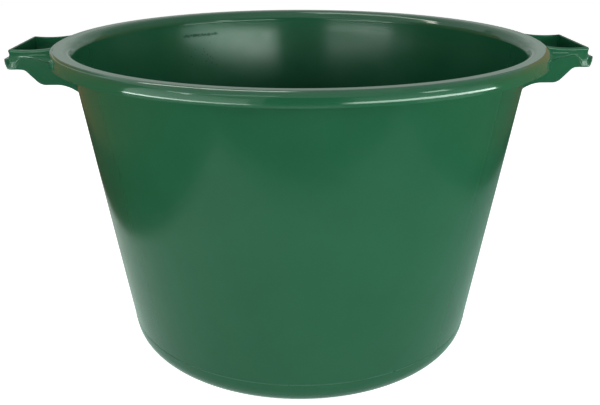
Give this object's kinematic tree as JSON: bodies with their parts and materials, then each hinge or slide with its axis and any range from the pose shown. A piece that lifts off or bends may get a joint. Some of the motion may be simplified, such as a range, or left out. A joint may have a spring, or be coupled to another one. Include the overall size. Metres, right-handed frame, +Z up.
{
  "type": "cement tub",
  "caption": "Round tapered plastic tub with a flat foot, a heavy down-turned rim and an open hand frame on either side, for mixing and carrying mortar or cement.",
  "frame": {"origin": "centre of the underside, on the ground", "axes": "+Z up along the tub's axis, +X from the centre to the right handle as the picture shows it, +Y to the back"},
  "size_m": [0.7556, 0.65, 0.418],
  "materials": {
    "green_plastic": "smooth glossy moulded polyethylene, deep green right through"
  },
  "bodies": {
    "root": {"tub_base": "green_plastic", "tub_wall": "green_plastic", "rim_ring": "green_plastic", "handle_left": "green_plastic", "handle_right": "green_plastic"}
  },
  "joints": []
}
